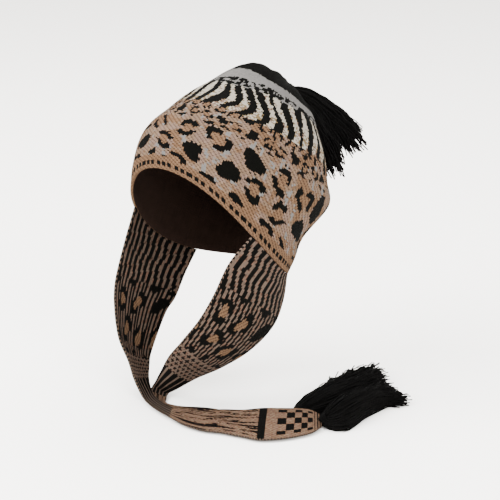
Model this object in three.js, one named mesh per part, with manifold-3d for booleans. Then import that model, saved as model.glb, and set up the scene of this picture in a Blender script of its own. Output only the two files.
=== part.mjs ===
// A knitted earflap hat with tasselled ties, in millimetres, +Z up.
// The front of the hat faces -Y and the wearer's left is +X. The origin is the middle of the head opening.
// It has the form it takes on a head: the flaps hang, and the ties lie on a surface below, pulled to the left.
import * as THREE from 'three';
import Module from 'manifold-3d';

// Driving dimensions
const KNIT_WALL = 3;
const FLAP_THICKNESS = 3;
const SEAM_GAP = 0.5;
const SURFACE_Z = -190.5;

// Crown: rings of the knitted tube from the hem to the drawn-together tip.
// Each ring passes through a front point, a back point and two side points, and leans back as it climbs.
const RING_COLUMNS = ['frontY', 'frontZ', 'midX', 'halfWidth', 'sideY', 'sideZ', 'backY', 'backZ', 'taper'];
const CROWN_RINGS = [
  [-76.5, 60, -5, 79, -3, -36, 72, -70, 0.13],
  [-78, 76, -4, 80, 4, -20, 78, -60, 0.11],
  [-75.5, 92, -2, 80, 13, 2, 86, -45, 0.08],
  [-62, 106, 1, 84, 29, 30, 130, -19, 0],
  [-41, 115, 3, 77, 43, 53, 121, 5, 0],
  [-15, 122, 3, 68, 56, 73, 117, 29, 0],
  [10, 129, 3, 57, 67, 90, 114, 50, 0],
  [34, 136.5, 3, 44, 76, 102, 111, 69, 0],
  [56, 138, 4, 31, 84, 106, 108, 83, 0],
  [76, 127, 6, 19, 91, 106, 104, 93, 0],
  [88, 113, 8, 9, 96, 104, 101, 100, 0],
  [95, 104, 8, 3, 97, 102, 99, 101, 0],
];
const CROWN_SIDES = 40;
const CROWN_ROWS = 24;
const GATHER_COUNT = 10;
const GATHER_DEPTH = 1.6;
const GATHER_FIRST_RING = 6;
const GATHER_DEEPEST_RING = 9;

// Earflaps: each strip starts along the hem between two angles from the front, then follows its stations.
// A station gives the strip's front edge, its back edge and how far its middle bows out of that line.
const STATION_COLUMNS = ['frontX', 'frontY', 'frontZ', 'backX', 'backY', 'backZ', 'bow'];
const FLAP_FRONT_ANGLE = 63;
const FLAP_BACK_ANGLE = 126;
const HEM_CURVE_FADES_BY = 2.5;
const LEFT_STATIONS = [
  [62, -62, -21.5, 60, 25, -86, 4],
  [52, -73, -52.5, 56, 14, -111, 6],
  [38, -77.5, -79, 44, -7, -132.5, 6],
  [18, -79, -105, 24, -27, -149.5, 5],
  [-3, -76, -129, 3, -40, -162, 4],
  [-28, -61, -159, -9, -54, -171.5, 3],
  [-52, -42, -183, -29, -47, -186, 1],
  [-50.5, -51, -188.5, -26.5, -53, -188.5, 0],
  [-34, -70, -188.9, -19, -61.5, -188.9, 0],
  [-9, -78, -188.9, -3.5, -59, -188.9, 0],
  [24, -80, -188.9, 18, -46, -188.9, 0],
  [52, -72, -188.9, 34, -40, -188.9, 0],
  [80, -60, -188.9, 57, -34, -188.9, 0],
  [95, -41, -188.9, 69, -19, -188.9, 0],
  [105, -23, -188.9, 79, -9, -188.9, 0],
  [106, -8, -188.9, 90, 0, -188.9, 0],
];
const RIGHT_STATIONS = [
  [-77, -55, -36, -65, 24, -85, -5],
  [-79, -67, -72, -68, 11, -109, -8],
  [-77, -71, -99, -71, -2, -124, -8],
  [-72, -71.5, -127.5, -70, -25, -157, -6],
  [-64, -66.6, -153, -68, -32, -171, -4],
  [-55, -69, -169, -61, -41, -181, -2],
  [-38.5, -74, -184, -43.5, -56, -184.5, 0],
  [-19, -82, -185, -23.5, -68.5, -184, 0],
  [7, -87.5, -185.8, -2, -73, -184, 0.5],
  [28, -91, -186.5, 13, -67, -184, 1],
  [49, -88.5, -187, 29, -60, -184, 1],
  [66, -81, -187.3, 40, -46.5, -184, 1.5],
  [87, -75, -187.3, 56, -35, -184, 1.5],
  [104, -70, -187.3, 71, -21, -183, 1.5],
  [119, -56, -187.3, 89, -11, -181.5, 1.5],
  [129, -41, -187.3, 103, -1.5, -181.5, 1.5],
  [135, -27, -187, 114, 2, -182, 1],
  [136, -14, -186, 124, 2, -184, 0.5],
];
const FLAP_STEPS_PER_STATION = 3;
const FLAP_STRIPS = 7;

// Tassels: a tied head and a skirt of yarn in locks, each lock reaching from the head to a tip.
const TIP_COLUMNS = ['x', 'y', 'z', 'lift'];
const CROWN_TASSEL = {
  head: [15, 109.5, 106],
  headRadii: [8.5, 8.5, 8],
  lockRadius: 8,
  tips: [
    [47, 176, 54, 24],
    [54, 174, 42, 20],
    [58, 162, 34, 16],
    [55, 149, 27, 14],
    [53, 136, 23, 15],
    [50, 124, 22, 17],
    [32, 164, 36, 18],
    [30, 142, 26, 14],
    [30, 132, 30, 12],
  ],
};
const LEFT_TASSEL = {
  head: [104, 19, -180.5],
  headRadii: [11, 12, 9],
  lockRadius: 8.5,
  tips: [
    [88, 54, -181, 8],
    [90, 76, -181, 10],
    [97, 92, -181, 12],
    [106, 110, -182, 12],
    [116, 118, -182, 12],
    [128, 112, -182, 12],
    [133, 96, -182, 12],
    [124, 70, -181, 12],
  ],
};
const RIGHT_TASSEL = {
  head: [142, 4, -180.5],
  headRadii: [13, 11, 9],
  lockRadius: 8.5,
  tips: [
    [156, 0, -181, 8],
    [163, 14, -182, 8],
    [166, 32, -182, 8],
    [168, 52, -182, 10],
    [167, 72, -182, 10],
    [164, 86, -183, 10],
    [155, 82, -182, 12],
    [150, 62, -181, 12],
  ],
};
const KNOT_RADIUS = 3;
const TIP_POINTS = new THREE.Vector3(0.2, 0.8, 0.57).normalize();
const TIP_DOME = 1.2;
const LOCK_SIDES = 6;
const LOCK_STEPS = 7;

const KNIT_COLOUR = 0xa98a70;
const YARN_COLOUR = 0x191817;

const wasm = await Module();
wasm.setup();

// Shared geometry
const rowsOf = (columns, table) =>
  table.map((row) => Object.fromEntries(columns.map((name, i) => [name, row[i]])));

// A smooth value of every column at place u, where row i of the table lies at u = i.
function between(rows, u) {
  const last = rows.length - 2;
  const i = Math.min(Math.max(Math.floor(u), 0), last);
  const t = u - i;
  const mix = (name) => {
    const b = rows[i][name];
    const c = rows[i + 1][name];
    const a = i > 0 ? rows[i - 1][name] : 2 * b - c;
    const d = i < last ? rows[i + 2][name] : 2 * c - b;
    const square = 2 * a - 5 * b + 4 * c - d;
    const cube = 3 * b - a - 3 * c + d;
    return 0.5 * (2 * b + (c - a) * t + square * t * t + cube * t * t * t);
  };
  return Object.fromEntries(Object.keys(rows[0]).map((name) => [name, mix(name)]));
}

// A closed skin over loops of equal, even length, with flat strips over the first and last loop.
function loft(loops) {
  const count = loops[0].length;
  const half = count / 2;
  const index = [];
  const quad = (a, b, c, d) => index.push(a, b, c, a, c, d);
  for (let k = 0; k + 1 < loops.length; k += 1) {
    for (let i = 0; i < count; i += 1) {
      const j = (i + 1) % count;
      quad(k * count + i, k * count + j, (k + 1) * count + j, (k + 1) * count + i);
    }
  }
  const end = (loops.length - 1) * count;
  for (let i = 0; i + 1 < half; i += 1) {
    quad(i, count - 1 - i, count - 2 - i, i + 1);
    quad(end + i, end + i + 1, end + count - 2 - i, end + count - 1 - i);
  }
  const geometry = new THREE.BufferGeometry().setFromPoints(loops.flat());
  geometry.setIndex(volumeOf(loops.flat(), index) < 0 ? index.reverse() : index);
  return geometry;
}

function volumeOf(points, index) {
  let volume = 0;
  const cross = new THREE.Vector3();
  for (let i = 0; i < index.length; i += 3) {
    cross.crossVectors(points[index[i + 1]], points[index[i + 2]]);
    volume += points[index[i]].dot(cross) / 6;
  }
  return volume;
}

function fuse(geometries) {
  const solids = geometries.map((geometry) => {
    const vertProperties = new Float32Array(geometry.attributes.position.array);
    const triVerts = new Uint32Array(geometry.index.array);
    return new wasm.Manifold(new wasm.Mesh({ numProp: 3, vertProperties, triVerts }));
  });
  const mesh = solids.reduce((whole, solid) => whole.add(solid)).getMesh();
  const geometry = new THREE.BufferGeometry();
  geometry.setAttribute('position', new THREE.BufferAttribute(mesh.vertProperties, 3));
  geometry.setIndex(new THREE.BufferAttribute(mesh.triVerts, 1));
  return geometry;
}

// Crown
const crownRings = rowsOf(RING_COLUMNS, CROWN_RINGS);
const TIP_RING = crownRings.length - 1;

function crownPoint(u, angle) {
  const ring = between(crownRings, u);
  const across = Math.sin(angle);
  const along = Math.cos(angle);
  const lean = (front, side, back) =>
    side + ((front - back) / 2) * along + ((front + back) / 2 - side) * along * along;
  return new THREE.Vector3(
    ring.midX + ring.halfWidth * across * (1 + ring.taper * along),
    lean(ring.frontY, ring.sideY, ring.backY),
    lean(ring.frontZ, ring.sideZ, ring.backZ),
  );
}

function crownNormal(u, angle) {
  const step = 0.02;
  const up = crownPoint(Math.min(u + step, TIP_RING), angle).sub(crownPoint(Math.max(u - step, 0), angle));
  const round = crownPoint(u, angle + step).sub(crownPoint(u, angle - step));
  return round.cross(up).normalize();
}

// The gathers rise and die out again around the tip.
function gatherAt(u, angle) {
  const rise = THREE.MathUtils.smoothstep(u, GATHER_FIRST_RING, GATHER_DEEPEST_RING);
  const fall = 1 - THREE.MathUtils.smoothstep(u, GATHER_DEEPEST_RING, TIP_RING);
  return GATHER_DEPTH * rise * fall * Math.cos(GATHER_COUNT * angle);
}

function crownLoop(u, depth) {
  return Array.from({ length: CROWN_SIDES }, (_, i) => {
    const angle = (2 * Math.PI * i) / CROWN_SIDES;
    return crownPoint(u, angle).addScaledVector(crownNormal(u, angle), gatherAt(u, angle) - depth);
  });
}

function crownGeometry() {
  const heights = Array.from({ length: CROWN_ROWS + 1 }, (_, i) => (TIP_RING * i) / CROWN_ROWS);
  const outside = heights.map((u) => crownLoop(u, 0)).reverse();
  const inside = heights.map((u) => crownLoop(u, KNIT_WALL));
  return loft([...outside, ...inside]);
}

// Earflaps
// The sewn edge runs just under the hem, in the middle of the crown's wall. Side is 1 on the left, -1 on the right.
function hemSeam(side, v) {
  const angle = side * THREE.MathUtils.degToRad(THREE.MathUtils.lerp(FLAP_FRONT_ANGLE, FLAP_BACK_ANGLE, v));
  const seam = crownPoint(0, angle);
  const down = seam.clone().sub(crownPoint(0.1, angle)).normalize();
  return seam.addScaledVector(crownNormal(0, angle), -KNIT_WALL / 2).addScaledVector(down, SEAM_GAP);
}

function flapSurface(side, table) {
  const front = hemSeam(side, 0);
  const back = hemSeam(side, 1);
  const top = [front.x, front.y, front.z, back.x, back.y, back.z, 0];
  const stations = rowsOf(STATION_COLUMNS, [top, ...table]);
  const chord = (station, v) => new THREE.Vector3(
    THREE.MathUtils.lerp(station.frontX, station.backX, v),
    THREE.MathUtils.lerp(station.frontY, station.backY, v),
    THREE.MathUtils.lerp(station.frontZ, station.backZ, v),
  );
  const point = (s, v) => {
    const step = 0.05;
    const station = between(stations, s);
    const ahead = chord(between(stations, Math.min(s + step, table.length)), 0.5);
    const behind = chord(between(stations, Math.max(s - step, 0)), 0.5);
    const across = chord(station, 1).sub(chord(station, 0));
    const face = ahead.sub(behind).cross(across).normalize();
    const hemCurve = hemSeam(side, v).sub(chord(stations[0], v));
    const kept = Math.max(0, 1 - s / HEM_CURVE_FADES_BY) ** 2;
    return chord(station, v)
      .addScaledVector(hemCurve, kept)
      .addScaledVector(face, station.bow * 4 * v * (1 - v));
  };
  return { point, length: table.length };
}

function flapGeometry(side, table) {
  const surface = flapSurface(side, table);
  const steps = surface.length * FLAP_STEPS_PER_STATION;
  const delta = 0.02;
  const offset = (s, v, distance) => {
    const along = surface.point(Math.min(s + delta, surface.length), v);
    along.sub(surface.point(Math.max(s - delta, 0), v));
    const across = surface.point(s, v + delta).sub(surface.point(s, v - delta));
    return surface.point(s, v).addScaledVector(along.cross(across).normalize(), distance);
  };
  const loops = Array.from({ length: steps + 1 }, (_, k) => {
    const s = k / FLAP_STEPS_PER_STATION;
    const places = Array.from({ length: FLAP_STRIPS + 1 }, (_, i) => i / FLAP_STRIPS);
    const upper = places.map((v) => offset(s, v, FLAP_THICKNESS / 2));
    const lower = places.map((v) => offset(s, v, -FLAP_THICKNESS / 2)).reverse();
    return [...upper, ...lower];
  });
  return loft(loops);
}

// Tassels
function tubeGeometry(curve, radiusAt) {
  const frames = curve.computeFrenetFrames(LOCK_STEPS, false);
  const loops = Array.from({ length: LOCK_STEPS + 1 }, (_, k) => {
    const t = k / LOCK_STEPS;
    return Array.from({ length: LOCK_SIDES }, (_, i) => {
      const turn = (2 * Math.PI * i) / LOCK_SIDES;
      return curve.getPointAt(t)
        .addScaledVector(frames.normals[k], radiusAt(t) * Math.cos(turn))
        .addScaledVector(frames.binormals[k], radiusAt(t) * Math.sin(turn));
    });
  });
  return loft(loops);
}

function headGeometry(centre, radii) {
  const rings = 6;
  const sides = 10;
  const loops = Array.from({ length: rings }, (_, k) => {
    const fall = (Math.PI * (k + 0.5)) / rings;
    return Array.from({ length: sides }, (_, i) => {
      const turn = (2 * Math.PI * i) / sides;
      const ball = new THREE.Vector3(
        Math.sin(fall) * Math.cos(turn),
        Math.sin(fall) * Math.sin(turn),
        Math.cos(fall),
      );
      return ball.multiply(radii).add(centre);
    });
  });
  return loft(loops);
}

// The cord seat at the middle of the crown's tip, and the way the tip points.
function crownSeat() {
  const tip = crownPoint(TIP_RING, 0).lerp(crownPoint(TIP_RING, Math.PI), 0.5);
  return { point: tip.addScaledVector(TIP_POINTS, TIP_DOME), along: TIP_POINTS };
}

// The cord seat at the middle of a tie's end, square to that end.
function tieSeat(table) {
  const [before, end] = rowsOf(STATION_COLUMNS, table).slice(-2);
  const edges = (row) => [
    new THREE.Vector3(row.frontX, row.frontY, row.frontZ),
    new THREE.Vector3(row.backX, row.backY, row.backZ),
  ];
  const [front, back] = edges(end);
  const across = back.clone().sub(front).normalize();
  const point = front.lerp(back, 0.5);
  const along = point.clone().sub(edges(before)[0].lerp(edges(before)[1], 0.5));
  along.addScaledVector(across, -along.dot(across)).setZ(0).normalize();
  point.z = Math.max(point.z, SURFACE_Z + KNOT_RADIUS + SEAM_GAP);
  return { point, along };
}

function tasselGeometry(tassel, seat) {
  const head = new THREE.Vector3(...tassel.head);
  const knot = seat.point.clone().addScaledVector(seat.along, SEAM_GAP);
  const bend = knot.clone().addScaledVector(seat.along, knot.distanceTo(head) / 2);
  const fullness = (t) => tassel.lockRadius * (0.62 + 0.38 * Math.sin(Math.PI * Math.min(1, t * 1.15)));
  const locks = rowsOf(TIP_COLUMNS, tassel.tips).map((tip) => {
    const end = new THREE.Vector3(tip.x, tip.y, tip.z);
    const belly = head.clone().lerp(end, 0.45);
    belly.z += tip.lift;
    return tubeGeometry(new THREE.QuadraticBezierCurve3(head, belly, end), fullness);
  });
  const neck = tubeGeometry(new THREE.QuadraticBezierCurve3(knot, bend, head), (t) => KNOT_RADIUS * (1 + t));
  return fuse([headGeometry(head, new THREE.Vector3(...tassel.headRadii)), neck, ...locks]);
}

// Assembly
const knit = new THREE.MeshStandardMaterial({ color: KNIT_COLOUR, roughness: 0.95, metalness: 0 });
const yarn = new THREE.MeshStandardMaterial({ color: YARN_COLOUR, roughness: 0.9, metalness: 0 });
const hat = new THREE.Group();

function addPiece(name, geometry, material) {
  geometry.computeVertexNormals();
  const piece = new THREE.Mesh(geometry, material);
  piece.name = name;
  hat.add(piece);
}

addPiece('crown', crownGeometry(), knit);
addPiece('left_earflap', flapGeometry(1, LEFT_STATIONS), knit);
addPiece('right_earflap', flapGeometry(-1, RIGHT_STATIONS), knit);
addPiece('crown_tassel', tasselGeometry(CROWN_TASSEL, crownSeat()), yarn);
addPiece('left_tassel', tasselGeometry(LEFT_TASSEL, tieSeat(LEFT_STATIONS)), yarn);
addPiece('right_tassel', tasselGeometry(RIGHT_TASSEL, tieSeat(RIGHT_STATIONS)), yarn);

export default hat;
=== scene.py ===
import math

import bpy
import numpy as np
from mathutils import Matrix, Vector


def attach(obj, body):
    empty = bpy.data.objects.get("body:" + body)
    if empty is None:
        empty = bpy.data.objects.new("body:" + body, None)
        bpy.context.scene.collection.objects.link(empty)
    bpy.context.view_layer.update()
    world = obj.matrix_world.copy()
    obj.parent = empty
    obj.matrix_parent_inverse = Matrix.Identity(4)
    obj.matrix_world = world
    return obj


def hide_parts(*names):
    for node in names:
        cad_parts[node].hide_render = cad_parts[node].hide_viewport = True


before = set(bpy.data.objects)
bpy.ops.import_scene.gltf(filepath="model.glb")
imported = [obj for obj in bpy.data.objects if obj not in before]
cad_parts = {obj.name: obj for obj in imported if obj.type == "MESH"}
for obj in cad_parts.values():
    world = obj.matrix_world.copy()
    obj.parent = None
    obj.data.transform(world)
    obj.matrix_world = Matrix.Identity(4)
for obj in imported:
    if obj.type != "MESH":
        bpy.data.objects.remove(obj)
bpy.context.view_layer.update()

MM = 0.001

# Camera
# It stands in front of the hat, round towards the wearer's left, and looks a little down on it.
CAMERA_PLACE = Vector((825.2, -1007.2, 421.4)) * MM
CAMERA_TURN = math.radians(38)
CAMERA_RISE = math.radians(19.5)
CAMERA_LENS_MM = 100.8
CAMERA_SENSOR_MM = 36

back = Vector((
    math.sin(CAMERA_TURN) * math.cos(CAMERA_RISE),
    -math.cos(CAMERA_TURN) * math.cos(CAMERA_RISE),
    math.sin(CAMERA_RISE),
))
right = Vector((math.cos(CAMERA_TURN), math.sin(CAMERA_TURN), 0))
camera_data = bpy.data.cameras.new("camera")
camera_data.lens = CAMERA_LENS_MM
camera_data.sensor_width = CAMERA_SENSOR_MM
camera = bpy.data.objects.new("camera", camera_data)
camera_axes = Matrix((right, back.cross(right), back)).transposed()
camera.matrix_world = Matrix.Translation(CAMERA_PLACE) @ camera_axes.to_4x4()
bpy.context.collection.objects.link(camera)
bpy.context.scene.camera = camera

# Crown
# The crown is one knitted tube, drawn together at the tip and slouching to the back, with a plain turned hem.
# It is a jacquard of wool-blend yarns, so each stitch takes one yarn from the chart below.
CROWN_RINGS = np.array([
    # hem to tip, in mm: front y, front z, middle x, half width, side y, side z, back y, back z, taper
    (-76.5, 60, -5, 79, -3, -36, 72, -70, 0.13),
    (-78, 76, -4, 80, 4, -20, 78, -60, 0.11),
    (-75.5, 92, -2, 80, 13, 2, 86, -45, 0.08),
    (-62, 106, 1, 84, 29, 30, 130, -19, 0),
    (-41, 115, 3, 77, 43, 53, 121, 5, 0),
    (-15, 122, 3, 68, 56, 73, 117, 29, 0),
    (10, 129, 3, 57, 67, 90, 114, 50, 0),
    (34, 136.5, 3, 44, 76, 102, 111, 69, 0),
    (56, 138, 4, 31, 84, 106, 108, 83, 0),
    (76, 127, 6, 19, 91, 106, 104, 93, 0),
    (88, 113, 8, 9, 96, 104, 101, 100, 0),
    (95, 104, 8, 3, 97, 102, 99, 101, 0),
])
TIP_RING = len(CROWN_RINGS) - 1
CROWN_WALES = 270
CROWN_COURSES = 150
CROWN_INSIDE_ROWS = 20
INSIDE_ROW_COURSES = 8
KNIT_WALL = 3.0
WALE_GROOVE = 0.25
GATHERED_FROM, GATHERED_MOST = 6, 9
GATHERS, GATHER_DEPTH = 10, 0.7
FINE_GATHERS, FINE_GATHER_DEPTH = 23, 0.35
SLACK_FROM, SLACK_FULL = 1.0, 2.5
SLACK_DEPTH, FINE_SLACK_DEPTH = 0.5, 0.35
HEM_ROWS = 3
HEM_ROUNDING = 0.3

BLACK, TAN, PINK, GREY, CREAM, BROWN, SAND, ROSE, TAUPE, OLIVE = range(10)
YARN_SRGB = np.array([
    (3, 3, 2),
    (83, 63, 47),
    (80, 60, 50),
    (84, 82, 80),
    (123, 117, 106),
    (27, 18, 14),
    (91, 74, 60),
    (92, 75, 65),
    (72, 60, 52),
    (84, 70, 50),
])
YARN_COLOURS = np.where(
    YARN_SRGB > 10.3,
    ((YARN_SRGB / 255 + 0.055) / 1.055) ** 2.4,
    YARN_SRGB / 255 / 12.92,
)
stitch_dice = np.random.default_rng(5)


def along_table(table, u):
    """Each column of a table, read smoothly at place u, where row i lies at u = i."""
    u = np.clip(u, 0, len(table) - 1)
    row = np.clip(np.floor(u).astype(int), 0, len(table) - 2)
    t = (u - row)[..., None]
    padded = np.vstack([2 * table[:1] - table[1:2], table, 2 * table[-1:] - table[-2:-1]])
    before, low, high, after = (padded[row + step] for step in range(4))
    slope = high - before
    bend = 2 * before - 5 * low + 4 * high - after
    twist = 3 * low - before - 3 * high + after
    return 0.5 * (2 * low + slope * t + bend * t**2 + twist * t**3)


def crown_surface(u, angle):
    """Points in mm on the plain crown, at ring place u and at an angle from the front in degrees."""
    front_y, front_z, mid_x, half, side_y, side_z, back_y, back_z, taper = np.moveaxis(
        along_table(CROWN_RINGS, u), -1, 0)
    across = np.sin(np.radians(angle))
    along = np.cos(np.radians(angle))

    def lean(front, side, rear):
        return side + (front - rear) / 2 * along + ((front + rear) / 2 - side) * along**2

    return np.stack([
        mid_x + half * across * (1 + taper * along),
        lean(front_y, side_y, back_y),
        lean(front_z, side_z, back_z),
    ], -1)


def unit(vectors):
    """The vectors, each scaled to a length of 1."""
    return vectors / np.maximum(np.linalg.norm(vectors, axis=-1, keepdims=True), 1e-9)


def crown_normal(u, angle):
    """The way out of the plain crown, square to its surface."""
    rise = crown_surface(u + 0.02, angle) - crown_surface(u - 0.02, angle)
    turn = crown_surface(u, angle + 1) - crown_surface(u, angle - 1)
    return unit(np.cross(turn, rise))


def smooth_step(x, low, high):
    """A smooth rise from 0 at low to 1 at high."""
    t = np.clip((x - low) / (high - low), 0, 1)
    return t * t * (3 - 2 * t)


def crown_knit(u, angle, depth):
    """The crown's surface with its gathers and slight waviness, sunk by depth in mm."""
    drawn = smooth_step(u, GATHERED_FROM, GATHERED_MOST) * (1 - smooth_step(u, GATHERED_MOST, TIP_RING))
    turn = np.radians(angle)
    fine_gather = FINE_GATHER_DEPTH * np.cos(FINE_GATHERS * turn + 1.3 * u)
    gather = drawn * (GATHER_DEPTH * np.cos(GATHERS * turn) + fine_gather)
    fine_slack = FINE_SLACK_DEPTH * np.sin(7 * turn - 2.7 * u)
    slack = (SLACK_DEPTH * np.sin(3 * turn + 1.9 * u) + fine_slack) * smooth_step(u, SLACK_FROM, SLACK_FULL)
    return crown_surface(u, angle) + crown_normal(u, angle) * (gather + slack - depth)[..., None]


def stripe(place, period, share):
    """True over the first share of each period."""
    return np.mod(place, period) < share * period


def dice(like, share):
    """True on a share of the stitches, each by its own throw, in an array like another."""
    return stitch_dice.random(np.shape(like)) < share


def broken_runs(shape, wales, courses, share):
    """True on a share of the stitches, in broken runs about so many wales wide and courses tall."""
    noise = stitch_dice.random(shape)
    for axis, reach in ((1, wales), (0, courses)):
        noise = sum(np.roll(noise, shift, axis) for shift in range(reach))
    return noise < np.quantile(noise, share)


# Courses are spaced evenly along a line up the wearer's left side, where the chart's heights are taken too.
RUN_ANGLE = 60.0
RUN_STEPS = 600
fine_u = np.linspace(0, TIP_RING, RUN_STEPS)
fine_points = crown_surface(fine_u, np.full(RUN_STEPS, RUN_ANGLE))
fine_steps = np.linalg.norm(np.diff(fine_points, axis=0), axis=1)
fine_run = np.concatenate([[0], np.cumsum(fine_steps)])


def course_place(course):
    """The ring place of a course, counted from the hem."""
    return np.interp(course / CROWN_COURSES * fine_run[-1], fine_run, fine_u)


# The chart is a plain animal print: leopard spots on the lower crown, smaller ones over them, zebra bars that
# close in on the tip, then a pale ring and a black tip. Heights are ring places, and spot sizes are in mm.
SPOTS_FROM, SPOTS_TO = 0.85, 3.35
SMALL_SPOTS_TO = 4.35
ZEBRA_TO = 5.9
PALE_FROM, PALE_TO = 6.3, 6.85
SPOT_COLUMNS, SPOT_WIDTH, SPOT_HEIGHT = 18, 26, 24
SMALL_SPOT_COLUMNS, SMALL_SPOT_WIDTH, SMALL_SPOT_HEIGHT = 36, 13, 13
SPOT_SHIFT = 0.24
SPOT_REACH, SPOT_REACH_LUCK = 0.36, 0.1
SPOT_OVAL, SPOT_BULGE = 0.2, 0.12
SOLID_SPOTS_SHARE = 0.35
MIDDLE_REACH = 0.5
RING_GAP_FROM = 0.72
ZEBRA_BARS = 32
BAR_WIDTH, BAR_WIDTH_LUCK, BAR_SWELL = 0.46, 0.2, 0.16
HEM_DOTS, HEM_DOT_SHARE = 80, 0.6
HEM_DOT_PLACE, HEM_DOT_HALF_HEIGHT = 0.42, 0.12
RAGGED_DEGREES, RAGGED_RINGS = 0.3, 0.02
ROSE_SHARE, GREY_SHARE, TAN_SHARE, TWEED_SHARE = 0.4, 0.11, 0.32, 0.6
OLIVE_SHARE, LOW_OLIVE_SHARE, LOW_OLIVE_TO = 0.1, 0.45, 4.9
LUCK_TURN = 6.3
SPOT_LUCK_ROWS, SPOT_LUCK_COLUMNS = 16, 40
spot_luck = np.random.default_rng(8).random((SPOT_LUCK_ROWS, SPOT_LUCK_COLUMNS, 6))
bar_luck = np.random.default_rng(9).random((ZEBRA_BARS, 2))
GROUND, RING, MIDDLE = range(3)


def leopard(column, row, columns, width, height):
    """Spots on staggered cells of width by height: bare ground, a dark broken ring, or the ring's middle."""
    row_number = np.floor(row).astype(int)
    column = column + 0.5 * np.mod(row_number, 2)
    column_number = np.floor(column).astype(int)
    luck = spot_luck[np.mod(row_number, SPOT_LUCK_ROWS), np.mod(column_number, columns)]
    shift_x, shift_y, oval_turn, bulge_turn, size, gap_turn = np.moveaxis(luck, -1, 0)
    x = (column - column_number - 0.5 - SPOT_SHIFT * (shift_x - 0.5)) * width
    y = (row - row_number - 0.5 - SPOT_SHIFT * (shift_y - 0.5)) * height
    turn = np.arctan2(y, x)
    oval = SPOT_OVAL * np.sin(2 * turn + LUCK_TURN * oval_turn)
    bulge = SPOT_BULGE * np.sin(3 * turn + LUCK_TURN * bulge_turn)
    spot_size = SPOT_REACH + SPOT_REACH_LUCK * size
    reach = np.hypot(x, y) / (1 + oval + bulge) / min(width, height) / spot_size
    solid = size < SOLID_SPOTS_SHARE
    gap = np.sin(2 * turn + LUCK_TURN * gap_turn) > RING_GAP_FROM
    spot = np.where((reach < 1) & (solid | ~gap), RING, GROUND)
    return np.where((reach < MIDDLE_REACH) & ~solid, MIDDLE, spot)


def zebra(angle, u):
    """True in dark bars that run up the crown, waver, and swell and thin on their way."""
    sway = 0.5 * np.sin(2.1 * u + 0.9)
    ripple = 0.25 * np.sin(np.radians(4 * angle) + 3 * u)
    place = angle / 360 * ZEBRA_BARS + sway + ripple
    number = np.floor(place).astype(int)
    luck = bar_luck[np.mod(number, ZEBRA_BARS)]
    swell = BAR_SWELL * np.sin(2.6 * u + LUCK_TURN * luck[..., 1])
    width = BAR_WIDTH + BAR_WIDTH_LUCK * luck[..., 0] + swell
    return np.abs(place - number - 0.5) < width / 2


def crown_chart(angle, u):
    """The yarn of each stitch on the outside of the crown. The print's edges are a little ragged."""
    size = angle.shape
    ragged_angle = angle + stitch_dice.normal(0, RAGGED_DEGREES, size)
    ragged_u = u + stitch_dice.normal(0, RAGGED_RINGS, size)
    height = np.interp(ragged_u, fine_u, fine_run)
    rose_streaks = broken_runs(size, 2, 7, ROSE_SHARE)
    ground = np.where(broken_runs(size, 2, 7, GREY_SHARE), GREY, np.where(rose_streaks, ROSE, SAND))
    ground = np.where(broken_runs(size, 12, 9, TAN_SHARE), TAN, ground)
    olive = dice(angle, OLIVE_SHARE + LOW_OLIVE_SHARE * (u < LOW_OLIVE_TO))
    upper = np.where(olive, np.where(rose_streaks, ROSE, OLIVE), CREAM)
    yarn = np.where(ragged_u > SMALL_SPOTS_TO, upper, ground)
    yarn = np.where(ragged_u < SPOTS_FROM, TAN, yarn)

    def spots(columns, cell_width, cell_height):
        return leopard(ragged_angle / 360 * columns, height / cell_height, columns, cell_width, cell_height)

    large = spots(SPOT_COLUMNS, SPOT_WIDTH, SPOT_HEIGHT)
    small = spots(SMALL_SPOT_COLUMNS, SMALL_SPOT_WIDTH, SMALL_SPOT_HEIGHT)
    spot = np.where(ragged_u < SPOTS_TO, large, small)
    spotted = (ragged_u > SPOTS_FROM) & (ragged_u < SMALL_SPOTS_TO)
    yarn = np.where(spotted & (spot == RING), BLACK, yarn)
    yarn = np.where(spotted & (spot == MIDDLE), TAN, yarn)
    yarn = np.where((ragged_u > SMALL_SPOTS_TO) & zebra(ragged_angle, ragged_u), BLACK, yarn)
    tweed = np.where(broken_runs(size, 3, 2, TWEED_SHARE), BLACK, GREY)
    yarn = np.where(ragged_u > ZEBRA_TO, tweed, yarn)
    turn = np.radians(angle)
    yarn = np.where(ragged_u > PALE_FROM + 0.1 * np.sin(3 * turn + 0.6), GREY, yarn)
    yarn = np.where(ragged_u > PALE_TO + 0.2 * np.sin(2 * turn + 2), BLACK, yarn)
    dot_row = np.abs(u - HEM_DOT_PLACE) < HEM_DOT_HALF_HEIGHT
    return np.where(dot_row & stripe(angle, 360 / HEM_DOTS, HEM_DOT_SHARE), BLACK, yarn)


SHADE_SPREAD = 0.07
TWILL_YARNS = (TAN, PINK, SAND, ROSE)
TWILL_STEP, TWILL_SHADE = 3, 0.5


def stitch_colours(yarn, wale, course):
    """Linear colours with each stitch a little lighter or darker, and a twill shade in the tan yarns."""
    shade = stitch_dice.normal(1, SHADE_SPREAD, yarn.shape)
    twill = np.isin(yarn, TWILL_YARNS) & (np.mod(wale + course, TWILL_STEP) == 0)
    shade = np.where(twill, shade * TWILL_SHADE, shade)
    return YARN_COLOURS[yarn] * shade[..., None]


def smooth_piece(name, mesh):
    """An object in the scene with a smoothly shaded mesh."""
    mesh.polygons.foreach_set("use_smooth", np.ones(len(mesh.polygons), bool))
    mesh.update()
    piece = bpy.data.objects.new(name, mesh)
    bpy.context.collection.objects.link(piece)
    return piece


QUAD_CORNERS = np.array([(0, 0, 0), (1, 0, 0), (1, 1, 0), (0, 1, 0)])


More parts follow.
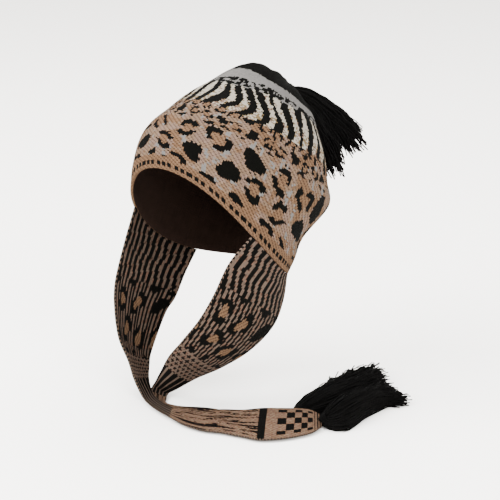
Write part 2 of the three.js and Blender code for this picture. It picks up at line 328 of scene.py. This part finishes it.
def knit_mesh(name, rings, colours, caps, row_courses):
    """A closed skin of quads over rings of points in mm, with caps in a fan or in strips across the ends.

    A quad is one leg of a stitch, or of a few courses of stitches as row_courses says for its row.
    """
    rows, columns = rings.shape[:2]
    row, column = np.meshgrid(np.arange(rows - 1), np.arange(columns), indexing="ij")
    low = row * columns
    high = low + columns
    following = (column + 1) % columns
    quads = np.stack([low + column, low + following, high + following, high + column], -1)
    faces = quads.reshape(-1, 4).tolist()
    points = rings.reshape(-1, 3)
    end = (rows - 1) * columns
    if caps == "fan":
        middles = np.stack([rings[0].mean(0), rings[-1].mean(0)])
        first = len(points)
        points = np.vstack([points, middles])
        faces += [[first, (k + 1) % columns, k] for k in range(columns)]
        faces += [[first + 1, end + k, end + (k + 1) % columns] for k in range(columns)]
    else:
        pairs = [(k, columns - k) for k in range(1, columns // 2)]
        strip = [(0, 0), *pairs, (columns // 2, columns // 2)]
        for (upper, lower), (next_upper, next_lower) in zip(strip, strip[1:]):
            cap = list(dict.fromkeys([upper, lower, next_lower, next_upper]))
            faces += [cap, [end + k for k in reversed(cap)]]
    mesh = bpy.data.meshes.new(name)
    mesh.from_pydata((points * MM).tolist(), [], faces)
    counts = np.array([len(face) for face in faces])
    cap_count = len(faces) - quads.size // 4
    skin_colours = np.vstack([colours.reshape(-1, 3), np.tile(YARN_COLOURS[BROWN], (cap_count, 1))])
    skin_colours = np.hstack([np.repeat(skin_colours, counts, axis=0), np.ones((counts.sum(), 1))])
    mesh.attributes.new("yarn", "FLOAT_COLOR", "CORNER").data.foreach_set("color", skin_colours.ravel())
    legs = np.zeros((counts.sum(), 3))
    legs[: quads.size] = np.tile(QUAD_CORNERS, (quads.size // 4, 1))
    legs[: quads.size, 1] *= np.repeat(row_courses, 4 * columns)
    mesh.attributes.new("stitch", "FLOAT_VECTOR", "CORNER").data.foreach_set("vector", legs.ravel())
    return smooth_piece(name, mesh)


def add_node(tree, kind, inputs=(), **settings):
    """A shader node with its settings, and inputs that are values or other nodes' sockets."""
    node = tree.nodes.new(kind)
    for key, value in settings.items():
        setattr(node, key, value)
    for key, value in dict(inputs).items():
        if isinstance(value, bpy.types.NodeSocket):
            tree.links.new(value, node.inputs[key])
        else:
            node.inputs[key].default_value = value
    return node


def sums(tree, operation, first, second=0.0):
    """The outcome of a sum in a shader, on values or sockets."""
    return add_node(tree, "ShaderNodeMath", {0: first, 1: second}, operation=operation).outputs[0]


def new_material(name):
    """A new material, with its node tree and its main shader."""
    material = bpy.data.materials.new(name)
    material.use_nodes = True
    return material, material.node_tree, material.node_tree.nodes["Principled BSDF"]


def knit_material(name):
    """Soft matt yarn: round legs in each stitch, painted shade in the grooves between them, and a mottle of
    fine fibres.
    """
    material, tree, shader = new_material(name)
    yarn = add_node(tree, "ShaderNodeAttribute", attribute_name="yarn").outputs["Color"]
    leg = add_node(tree, "ShaderNodeAttribute", attribute_name="stitch").outputs["Vector"]
    split = add_node(tree, "ShaderNodeSeparateXYZ", {"Vector": leg}).outputs
    place = add_node(tree, "ShaderNodeTexCoord").outputs["Object"]

    def hump(socket, power):
        centred = sums(tree, "SUBTRACT", sums(tree, "MULTIPLY", socket, 2.0), 1.0)
        return sums(tree, "SUBTRACT", 1.0, sums(tree, "POWER", sums(tree, "ABSOLUTE", centred), power))

    def noise(scale, detail):
        inputs = {"Vector": place, "Scale": scale, "Detail": detail}
        return add_node(tree, "ShaderNodeTexNoise", inputs).outputs["Fac"]

    course = hump(sums(tree, "FRACT", split["Y"]), 4.0)
    round_leg = sums(tree, "MULTIPLY", hump(split["X"], 2.0), sums(tree, "ADD", course, 0.6))
    fibre = noise(1500.0, 3.0)
    cloud = noise(45.0, 2.0)
    # Painted shade: the yarn colour darkens to 0.62 at the sides of each leg and at the ends of each course,
    # where shade falls between stitches.
    groove_shade_range = {"Value": round_leg, "From Max": 1.1, "To Min": 0.62, "To Max": 1.08}
    groove = add_node(tree, "ShaderNodeMapRange", groove_shade_range).outputs["Result"]
    mottle = sums(tree, "ADD", sums(tree, "MULTIPLY", cloud, 0.3), sums(tree, "MULTIPLY", fibre, 0.5))
    # The colour's tone is this painted groove shade times a random mottle of fibres.
    tone = sums(tree, "MULTIPLY", groove, sums(tree, "ADD", mottle, 0.6))
    lit = add_node(tree, "ShaderNodeVectorMath", {0: yarn, "Scale": tone}, operation="SCALE")
    tree.links.new(lit.outputs["Vector"], shader.inputs["Base Color"])
    rough = add_node(tree, "ShaderNodeMapRange", {"Value": fibre, "To Min": 0.82, "To Max": 0.98})
    tree.links.new(rough.outputs["Result"], shader.inputs["Roughness"])
    height = sums(tree, "ADD", round_leg, sums(tree, "MULTIPLY", fibre, 0.5))
    bump = add_node(tree, "ShaderNodeBump", {"Height": height, "Strength": 0.55, "Distance": 0.0007})
    tree.links.new(bump.outputs["Normal"], shader.inputs["Normal"])
    shader.inputs["Specular IOR Level"].default_value = 0.03
    return material


hat_knit = knit_material("hat_knit")

half_wales = 2 * CROWN_WALES
wale_angles = np.arange(half_wales) * 360 / half_wales
courses = np.arange(CROWN_COURSES + 1)
zigzag = np.where(np.arange(half_wales) % 2 == 1, -0.5, 0.0)
zigzag_courses = np.clip(courses[:, None] + zigzag * (courses[:, None] > 0), 0, CROWN_COURSES)
outside_u = course_place(zigzag_courses)
angle_grid = np.broadcast_to(wale_angles, outside_u.shape)
groove_depth = np.where(np.arange(half_wales) % 2 == 1, 0.0, WALE_GROOVE)
outside_rings = crown_knit(outside_u, angle_grid, np.broadcast_to(groove_depth, outside_u.shape))
inside_u = np.linspace(TIP_RING, 0, CROWN_INSIDE_ROWS)[:, None] * np.ones(half_wales)
inside_angles = np.broadcast_to(wale_angles, inside_u.shape)
inside_rings = crown_knit(inside_u, inside_angles, np.full(inside_u.shape, KNIT_WALL))
hem_out, hem_in = outside_rings[0], inside_rings[-1]
hem_u = np.zeros(half_wales)
hem_down = unit(crown_surface(hem_u, wale_angles) - crown_surface(hem_u + 0.1, wale_angles))
hem_turn = [
    (hem_in + hem_out) / 2 + (hem_out - hem_in) / 2 * -math.cos(t) + hem_down * math.sin(t) * HEM_ROUNDING
    for t in np.linspace(0, math.pi, HEM_ROWS + 2)[1:-1]
]
crown_rings = np.concatenate([inside_rings, np.stack(hem_turn), outside_rings])

inner_rows = len(crown_rings) - 1 - CROWN_COURSES
wale_index = np.arange(half_wales) // 2
inner_wale, inner_row = np.meshgrid(wale_index, np.arange(inner_rows))
reverse_yarn = np.where(inner_row >= inner_rows - HEM_ROWS - 1, TAN, BROWN)
outer_wale, outer_course = np.meshgrid(np.arange(CROWN_WALES), np.arange(CROWN_COURSES))
outer_yarn = crown_chart((outer_wale + 0.5) * 360 / CROWN_WALES, course_place(outer_course + 0.5))
outer_colours = np.repeat(stitch_colours(outer_yarn, outer_wale, outer_course), 2, axis=1)
crown_colours = np.concatenate([stitch_colours(reverse_yarn, inner_wale, inner_row), outer_colours])

row_courses = np.ones(len(crown_rings) - 1)
row_courses[: CROWN_INSIDE_ROWS - 1] = INSIDE_ROW_COURSES
crown = knit_mesh("crown_knit", crown_rings, crown_colours, "fan", row_courses)
crown.data.materials.append(hat_knit)
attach(crown, "root")
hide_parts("crown")

# Earflaps and ties
# Each flap is a double-knit strip sewn under the hem, which narrows into a tie and widens to a rounded end.
# The ties lie on the surface below, and the wearer's right one crosses over the left one.
FLAP_ANGLES = (63, 126)
SEAM_GAP = 0.5
HEM_CURVE_FADES_BY = 2.5
FLAP_THICKNESS = 3.0
FLAP_WALES = 60
FLAP_COURSES = 240
FLAP_GROOVE = 0.18
FLAP_EDGE_SQUARENESS = 30
LEFT_STATIONS = np.array([
    # hem to end, in mm: front edge x, y, z, back edge x, y, z, and the bow between them
    (62, -62, -21.5, 60, 25, -86, 4),
    (52, -73, -52.5, 56, 14, -111, 6),
    (38, -77.5, -79, 44, -7, -132.5, 6),
    (18, -79, -105, 24, -27, -149.5, 5),
    (-3, -76, -129, 3, -40, -162, 4),
    (-28, -61, -159, -9, -54, -171.5, 3),
    (-52, -42, -183, -29, -47, -186, 1),
    (-50.5, -51, -188.5, -26.5, -53, -188.5, 0),
    (-34, -70, -188.9, -19, -61.5, -188.9, 0),
    (-9, -78, -188.9, -3.5, -59, -188.9, 0),
    (24, -80, -188.9, 18, -46, -188.9, 0),
    (52, -72, -188.9, 34, -40, -188.9, 0),
    (80, -60, -188.9, 57, -34, -188.9, 0),
    (95, -41, -188.9, 69, -19, -188.9, 0),
    (105, -23, -188.9, 79, -9, -188.9, 0),
    (106, -8, -188.9, 90, 0, -188.9, 0),
])
RIGHT_STATIONS = np.array([
    (-77, -55, -36, -65, 24, -85, -5),
    (-79, -67, -72, -68, 11, -109, -8),
    (-77, -71, -99, -71, -2, -124, -8),
    (-72, -71.5, -127.5, -70, -25, -157, -6),
    (-64, -66.6, -153, -68, -32, -171, -4),
    (-55, -69, -169, -61, -41, -181, -2),
    (-38.5, -74, -184, -43.5, -56, -184.5, 0),
    (-19, -82, -185, -23.5, -68.5, -184, 0),
    (7, -87.5, -185.8, -2, -73, -184, 0.5),
    (28, -91, -186.5, 13, -67, -184, 1),
    (49, -88.5, -187, 29, -60, -184, 1),
    (66, -81, -187.3, 40, -46.5, -184, 1.5),
    (87, -75, -187.3, 56, -35, -184, 1.5),
    (104, -70, -187.3, 71, -21, -183, 1.5),
    (119, -56, -187.3, 89, -11, -181.5, 1.5),
    (129, -41, -187.3, 103, -1.5, -181.5, 1.5),
    (135, -27, -187, 114, 2, -182, 1),
    (136, -14, -186, 124, 2, -184, 0.5),
])
# Places along the flap's chart, which is as long as this many stations on either side.
CHART_LENGTH = 17
STRIPES_TO = 1.7
FLAP_SPOTS_TO = 4.3
SCALES_TO = 5.7
TURN_TO = 8.6
CROSS_BAND_FROM, CROSS_BAND_TO = 13.1, 13.45
CHECKS_FROM, CHECKS_TO = 13.95, 16.1
# Spans across the flap are shares of its width. Stripes have a period and the share of it that is dark.
OUTER_STRIPES_LEAN = 0.06
STRIPES, SPOT_STRIPES, TURN_STRIPES = (0.088, 0.58), (0.062, 0.52), (0.21, 0.7)
END_STRIPES = (0.3, 0.4)
FLAP_SPOTS_ACROSS, FLAP_SPOT_WIDTH, FLAP_SPOT_HEIGHT = 3, 27, 23
FLAP_SPOTS_RAGGED = 0.015
SCALES_ACROSS, SCALES_ALONG, SCALE_REACH = 9, 4.5, 0.42
STREAKS_SHARE = 0.36
CHECKS_ACROSS, CHECK_LENGTH, CHECKS_MARGIN = 5, 0.43, 0.1
TWEED_EDGE = 0.02


def scales(s, v):
    """True in small dark staggered cells, as on a snake's skin."""
    row = np.floor(s * SCALES_ALONG)
    x = np.mod(v * SCALES_ACROSS + 0.5 * np.mod(row, 2), 1) - 0.5
    y = np.mod(s * SCALES_ALONG, 1) - 0.5
    return np.abs(x) + np.abs(y) < SCALE_REACH


def edge_tweed(yarn, v, wale, course):
    """The chart with a fine black and taupe check along both edges."""
    edge = (v < TWEED_EDGE) | (v > 1 - TWEED_EDGE)
    return np.where(edge, np.where(np.mod(wale + course, 2) == 0, BLACK, TAUPE), yarn)


def flap_chart(s, v, wale, course, lean):
    """The yarn of each stitch on a face of the flap and its tie. The stripes lean by a share of the width."""
    light = np.where(dice(s, 0.25), PINK, TAUPE)
    slant = v - lean * s
    yarn = np.where(stripe(slant + 0.012 * np.sin(7 * s), *STRIPES), BLACK, light)
    ragged_s = s + stitch_dice.normal(0, FLAP_SPOTS_RAGGED, s.shape)
    spot = leopard(FLAP_SPOTS_ACROSS * v, ragged_s, FLAP_SPOTS_ACROSS, FLAP_SPOT_WIDTH, FLAP_SPOT_HEIGHT)
    lines = np.where(stripe(slant, *SPOT_STRIPES), BLACK, light)
    spots = np.where(spot == RING, BLACK, np.where(spot == MIDDLE, TAN, lines))
    yarn = np.where(s > STRIPES_TO, spots, yarn)
    yarn = np.where(s > FLAP_SPOTS_TO, np.where(scales(s, v), BLACK, light), yarn)
    yarn = np.where(s > SCALES_TO, np.where(stripe(v + 0.05, *TURN_STRIPES), BLACK, TAUPE), yarn)
    tie_light = np.where(dice(s, 0.4), SAND, np.where(dice(s, 0.55), PINK, TAN))
    streaks = broken_runs(s.shape, 3, 20, STREAKS_SHARE)
    tie = np.where(streaks & (s < CROSS_BAND_FROM), np.where(dice(s, 0.75), BLACK, BROWN), tie_light)
    tie = np.where((s > CROSS_BAND_FROM) & (s < CROSS_BAND_TO), BLACK, tie)
    checked = (s > CHECKS_FROM) & (s < CHECKS_TO) & (v > CHECKS_MARGIN) & (v < 1 - CHECKS_MARGIN)
    square = np.floor((s - CHECKS_FROM) / CHECK_LENGTH) + np.floor(v * CHECKS_ACROSS)
    tie = np.where(checked & (np.mod(square, 2) == 0), BLACK, tie)
    tie = np.where((s > CHECKS_TO) & stripe(s, *END_STRIPES), BLACK, tie)
    yarn = np.where(s > TURN_TO, tie, yarn)
    return edge_tweed(yarn, v, wale, course)


def hem_seam(side, v):
    """The sewn edge of a flap, under the middle of the crown's wall."""
    angle = side * (FLAP_ANGLES[0] + (FLAP_ANGLES[1] - FLAP_ANGLES[0]) * v)
    zero = np.zeros(np.shape(v))
    seam = crown_surface(zero, angle)
    down = unit(seam - crown_surface(zero + 0.1, angle))
    return seam - crown_normal(zero + 0.02, angle) * KNIT_WALL / 2 + down * SEAM_GAP


def flap_surface(side, stations, s, v):
    """Points in mm on the middle of a flap, at station place s and share v of its width."""
    ends = hem_seam(side, np.array([0.0, 1.0]))
    table = np.vstack([[*ends[0], *ends[1], 0], stations])

    def chord(place):
        row = along_table(table, place)
        return row[..., :3] * (1 - v[..., None]) + row[..., 3:6] * v[..., None]

    def middle(place):
        row = along_table(table, place)
        return (row[..., :3] + row[..., 3:6]) / 2

    row = along_table(table, s)
    face = unit(np.cross(middle(s + 0.05) - middle(s - 0.05), row[..., 3:6] - row[..., :3]))
    hem_curve = hem_seam(side, v) - (ends[0] * (1 - v[..., None]) + ends[1] * v[..., None])
    kept = np.maximum(0, 1 - s / HEM_CURVE_FADES_BY) ** 2
    return chord(s) + hem_curve * kept[..., None] + face * (row[..., 6] * 4 * v * (1 - v))[..., None]


def earflap(name, node, side, stations):
    """One flap with its tie. Side is 1 on the wearer's left and -1 on the right."""
    length = len(stations)
    columns = 2 * FLAP_WALES
    course = np.arange(FLAP_COURSES + 1)
    leg = np.arange(columns + 1)
    zig = np.where(leg % 2 == 1, -0.5, 0.0) * ((course > 0) & (course < FLAP_COURSES))[:, None]
    s = (course[:, None] + zig) * length / FLAP_COURSES
    v = np.broadcast_to(leg / columns, s.shape)
    middle = flap_surface(side, stations, s, v)
    step = 0.02
    along = flap_surface(side, stations, s + step, v) - flap_surface(side, stations, s - step, v)
    across = flap_surface(side, stations, s, v + step) - flap_surface(side, stations, s, v - step)
    upward = unit(np.cross(along, across))
    round_edge = np.sqrt(np.maximum(0, 1 - np.abs(2 * v - 1) ** FLAP_EDGE_SQUARENESS))
    groove = np.where(leg % 2 == 1, 0.0, FLAP_GROOVE) * (round_edge > 0.5)
    half = upward * (FLAP_THICKNESS / 2 * round_edge - groove)[..., None]
    rings = np.concatenate([middle + half, (middle - half)[:, -2:0:-1]], axis=1)
    wale, row = np.meshgrid(np.arange(FLAP_WALES), np.arange(FLAP_COURSES))
    place = (row + 0.5) * length / FLAP_COURSES
    share = (wale + 0.5) / FLAP_WALES
    outer = flap_chart(place * CHART_LENGTH / length, share, wale, row, OUTER_STRIPES_LEAN)
    inner = flap_chart(place * CHART_LENGTH / length, share, wale, row, 0.0)
    yarns = (outer, inner) if side > 0 else (inner, outer)
    top, under = (stitch_colours(yarn, wale, row) for yarn in yarns)
    colours = np.repeat(np.concatenate([top, under[:, ::-1]], axis=1), 2, axis=1)
    piece = knit_mesh(name, rings, colours, "strip", np.ones(FLAP_COURSES))
    piece.data.materials.append(hat_knit)
    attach(piece, "root")
    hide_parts(node)


earflap("left_earflap_knit", "left_earflap", 1, LEFT_STATIONS)
earflap("right_earflap_knit", "right_earflap", -1, RIGHT_STATIONS)

# Tassels
# A tassel is a bundle of soft twisted black yarn, folded over, bound below the fold and cut at the ends.
# One hangs from the crown's tip, and one lies on the surface at the end of each tie.
SURFACE_Z = -190.5
TASSELS = {
    # Places in mm. The strands fill the bundle from the guides inwards, as far as its thickness.
    "crown_tassel": dict(
        knot=(8.3, 98, 103.2), thickness=(-10, 12, -5),
        guides=[
            # tip x, y, z, waist x, y, z and shoulder x, y, z of a strand's curve
            (47, 169, 58, 20, 139, 103, 12, 112, 108), (55, 166, 45, 26, 141, 94, 14, 112, 106),
            (53, 156, 37, 26, 137, 88, 15, 111, 105), (41, 139, 46, 24, 132, 86, 15, 110, 103),
            (51, 136, 26, 28, 126, 82, 15, 108, 100), (46, 124, 22, 24, 117, 86, 14, 105, 99),
            (32, 130, 28, 18, 116, 88, 12, 104, 99), (30, 142, 28, 16, 126, 88, 11, 106, 100),
            (32, 158, 38, 18, 136, 92, 11, 109, 104),
        ]),
    "left_tassel": dict(
        knot=(98.2, -3.5, -187), thickness=(0, 0, -15),
        guides=[
            (84, 74, -184, 96, 42, -183, 88, 10, -180), (92, 83, -180, 98, 46, -176, 92, 14, -172),
            (95, 107, -179, 102, 52, -172, 98, 18, -167), (105, 127, -180, 107, 56, -171, 106, 22, -164),
            (118, 116, -179, 114, 56, -171, 117, 22, -164), (131, 104, -181, 120, 54, -174, 128, 20, -168),
            (143, 88, -184, 126, 46, -180, 136, 16, -176),
        ]),
    "right_tassel": dict(
        knot=(130.4, -5.6, -185), thickness=(0, 0, -15),
        guides=[
            (164, 78, -183, 122, 66, -182, 184, -18, -179), (168, 84, -180, 138, 60, -175, 176, -8, -166),
            (158, 84, -178, 150, 44, -167, 164, 4, -154), (146, 88, -178, 142, 46, -167, 148, 14, -152),
            (138, 94, -180, 134, 46, -170, 134, 24, -160), (126, 88, -184, 126, 42, -180, 120, 28, -174),
        ]),
}
STRANDS = 1000
STRAND_STEPS = 18
STRAND_SIDES = 4
STRAND_RADIUS = 0.55
NECK_RADIUS = 4
WAIST_SCATTER, TIP_SCATTER = 1.2, 1.8
CUT_SHARE, CUT_SCATTER = 0.92, 0.06
CRIMP, END_CRIMP = 0.3, 1.3
CRIMP_PITCHES = (14, 30)
BINDING_TURNS = 7
BINDING_RADIUS = 5.4
BINDING_FROM, BINDING_STEP = 1.5, 1.0


def strand_tubes(name, paths, radii):
    """One mesh of thin tubes along paths of points in mm."""
    count, steps = paths.shape[:2]
    tangent = unit(np.gradient(paths, axis=1))
    side = unit(np.cross(tangent, np.array([0.31, 0.22, 0.92])))
    upper = np.cross(side, tangent)
    turn = np.arange(STRAND_SIDES) * 2 * math.pi / STRAND_SIDES
    ring = side[:, :, None] * np.cos(turn)[:, None] + upper[:, :, None] * np.sin(turn)[:, None]
    points = paths[:, :, None] + ring * radii[:, :, None, None]
    strand, step, edge = np.meshgrid(
        np.arange(count), np.arange(steps - 1), np.arange(STRAND_SIDES), indexing="ij")
    base = strand * steps * STRAND_SIDES
    here, there = base + step * STRAND_SIDES, base + (step + 1) * STRAND_SIDES
    following = (edge + 1) % STRAND_SIDES
    quads = np.stack([here + edge, here + following, there + following, there + edge], -1)
    quads = quads.reshape(-1, 4).tolist()
    starts = np.arange(count) * steps * STRAND_SIDES
    ends = starts + (steps - 1) * STRAND_SIDES
    ring_order = np.arange(STRAND_SIDES)
    caps = (starts[:, None] + ring_order[::-1]).tolist() + (ends[:, None] + ring_order).tolist()
    mesh = bpy.data.meshes.new(name)
    mesh.from_pydata((points.reshape(-1, 3) * MM).tolist(), [], quads + caps)
    sides = len(quads) * 4
    twist = np.zeros((len(mesh.loops), 3))
    twist[:sides] = np.tile(QUAD_CORNERS, (len(quads), 1))
    twist[:sides, 0] += np.repeat(edge.ravel(), 4)
    twist[:sides, 1] += np.repeat(step.ravel(), 4)
    mesh.attributes.new("stitch", "FLOAT_VECTOR", "CORNER").data.foreach_set("vector", twist.ravel())
    return smooth_piece(name, mesh)


def tassel_yarn_material():
    """Black yarn with a slight brown cast, its plies shown by slanting grooves with painted shade in them."""
    material, tree, shader = new_material("tassel_yarn")
    leg = add_node(tree, "ShaderNodeAttribute", attribute_name="stitch").outputs["Vector"]
    split = add_node(tree, "ShaderNodeSeparateXYZ", {"Vector": leg}).outputs
    round_strand = sums(tree, "MULTIPLY", split["X"], 2 * 2 * math.pi / STRAND_SIDES)
    slant = sums(tree, "ADD", round_strand, sums(tree, "MULTIPLY", split["Y"], 13.0))
    ply = sums(tree, "ABSOLUTE", sums(tree, "SINE", sums(tree, "MULTIPLY", slant, 0.5)))
    place = add_node(tree, "ShaderNodeTexCoord").outputs["Object"]
    fibre = add_node(tree, "ShaderNodeTexNoise", {"Vector": place, "Scale": 900.0, "Detail": 3.0})
    # Painted shade: the colour darkens in the grooves between plies, and the fibre noise adds a random
    # mottle.
    blend = sums(tree, "MULTIPLY", ply, fibre.outputs["Fac"])
    ramp = add_node(tree, "ShaderNodeValToRGB", {"Fac": blend})
    ramp.color_ramp.elements[0].color = (0.0005, 0.00045, 0.00045, 1)
    ramp.color_ramp.elements[1].color = (0.0022, 0.002, 0.0018, 1)
    tree.links.new(ramp.outputs["Color"], shader.inputs["Base Color"])
    bump = add_node(tree, "ShaderNodeBump", {"Height": blend, "Strength": 0.6, "Distance": 0.0005})
    tree.links.new(bump.outputs["Normal"], shader.inputs["Normal"])
    shader.inputs["Roughness"].default_value = 0.85
    shader.inputs["Specular IOR Level"].default_value = 0.03
    return material


tassel_yarn = tassel_yarn_material()


def tassel(node, knot, thickness, guides):
    """Strands that fan out between the guides, with turns of yarn that bind them at the knot."""
    draw = np.random.default_rng(11)
    knot, guides = np.array(knot, float), np.array(guides, float)
    place = draw.uniform(0, len(guides) - 1, STRANDS)
    first = np.minimum(place.astype(int), len(guides) - 2)
    share = (place - first)[:, None]
    chosen = guides[first] * (1 - share) + guides[first + 1] * share
    sink = draw.random((STRANDS, 1)) * np.array(thickness, float)
    waist = chosen[:, 3:6] + sink + draw.normal(0, WAIST_SCATTER, (STRANDS, 3))
    tip = chosen[:, :3] + sink * 0.5 + draw.normal(0, TIP_SCATTER, (STRANDS, 3))
    clump = 0.1 * np.sin(9 * place) + 0.06 * np.sin(23 * place)
    cut = CUT_SHARE + clump[:, None] + draw.normal(0, CUT_SCATTER, (STRANDS, 1))
    tip = waist + (tip - waist) * cut
    spread = unit(draw.normal(0, 1, (STRANDS, 3))) * draw.random((STRANDS, 1)) ** 0.5
    start = knot + spread * NECK_RADIUS
    shoulder = chosen[:, 6:] + sink * 1.2 + spread * NECK_RADIUS
    t = np.linspace(0, 1, STRAND_STEPS)[None, :, None] ** 0.85
    path = ((1 - t) ** 3 * start[:, None] + 3 * t * (1 - t) ** 2 * shoulder[:, None]
            + 3 * t**2 * (1 - t) * waist[:, None] + t**3 * tip[:, None])
    phase = draw.uniform(0, 2 * math.pi, (STRANDS, 1, 3))
    pitch = draw.uniform(*CRIMP_PITCHES, (STRANDS, 1, 1))
    path = path + np.sin(t * pitch + phase) * (CRIMP + END_CRIMP * smooth_step(t, 0.5, 1))
    axis = unit(guides[:, 6:].mean(0) - knot)
    side = unit(np.cross(axis, (0.2, 0.3, 0.93)))
    turn = np.linspace(0, 2 * math.pi, STRAND_STEPS)[:, None]
    ring = (side * np.cos(turn) + np.cross(axis, side) * np.sin(turn)) * BINDING_RADIUS
    steps = BINDING_FROM + BINDING_STEP * np.arange(BINDING_TURNS)
    path = np.concatenate([path, knot + axis * steps[:, None, None] + ring])
    radii = STRAND_RADIUS * draw.uniform(0.8, 1.2, (len(path), 1)) * np.ones((1, STRAND_STEPS))
    path[..., 2] = np.maximum(path[..., 2], SURFACE_Z + radii)
    piece = strand_tubes(node + "_strands", path, radii)
    piece.data.materials.append(tassel_yarn)
    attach(piece, "root")
    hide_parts(node)


for node, sizes in TASSELS.items():
    tassel(node, **sizes)

# Floor and light
# A plain pale studio floor of matt paper takes the ties' soft shadows.
# A large soft light stands at the front, with a wide fill on the other side, a soft one above and a pale sky.
FLOOR_REACH = 8
FLOOR_CORNERS = ((-1, -1), (1, -1), (1, 1), (-1, 1))
FLOOR_TONES = ((0.88, 0.862, 0.832, 1), (0.9, 0.882, 0.852, 1))
SKY_TINT = (1, 0.985, 0.955, 1)
SKY_STRENGTH = 2.9

floor_mesh = bpy.data.meshes.new("floor")
floor_points = [(x * FLOOR_REACH, y * FLOOR_REACH, SURFACE_Z * MM) for x, y in FLOOR_CORNERS]
floor_mesh.from_pydata(floor_points, [], [(0, 1, 2, 3)])
floor = bpy.data.objects.new("floor", floor_mesh)
bpy.context.collection.objects.link(floor)
floor_material, floor_tree, floor_shader = new_material("floor_paper")
floor_grain = add_node(floor_tree, "ShaderNodeTexNoise", {"Scale": 3.0, "Detail": 2.0}).outputs["Fac"]
floor_ramp = add_node(floor_tree, "ShaderNodeValToRGB", {"Fac": floor_grain})
for stop, tone in zip(floor_ramp.color_ramp.elements, FLOOR_TONES):
    stop.color = tone
floor_tree.links.new(floor_ramp.outputs["Color"], floor_shader.inputs["Base Color"])
floor_shader.inputs["Roughness"].default_value = 0.9
floor_shader.inputs["Specular IOR Level"].default_value = 0.1
floor_mesh.materials.append(floor_material)

LIGHTS = [
    # name, place in m, size in m, watts
    ("key_light", (-0.9, -1.5, 1.5), 1.6, 190),
    ("fill_light", (1.9, -0.9, 1.0), 1.8, 90),
    ("top_light", (0.0, 0.3, 2.0), 2.2, 116),
]
for name, place, size, watts in LIGHTS:
    light = bpy.data.lights.new(name, "AREA")
    light.size = size
    light.energy = watts
    lamp = bpy.data.objects.new(name, light)
    lamp.location = place
    lamp.rotation_euler = (-Vector(place)).to_track_quat("-Z", "Y").to_euler()
    bpy.context.collection.objects.link(lamp)
world = bpy.data.worlds.new("studio")
world.use_nodes = True
sky = world.node_tree.nodes["Background"]
sky.inputs["Color"].default_value = SKY_TINT
sky.inputs["Strength"].default_value = SKY_STRENGTH
bpy.context.scene.world = world

bpy.context.view_layer.update()
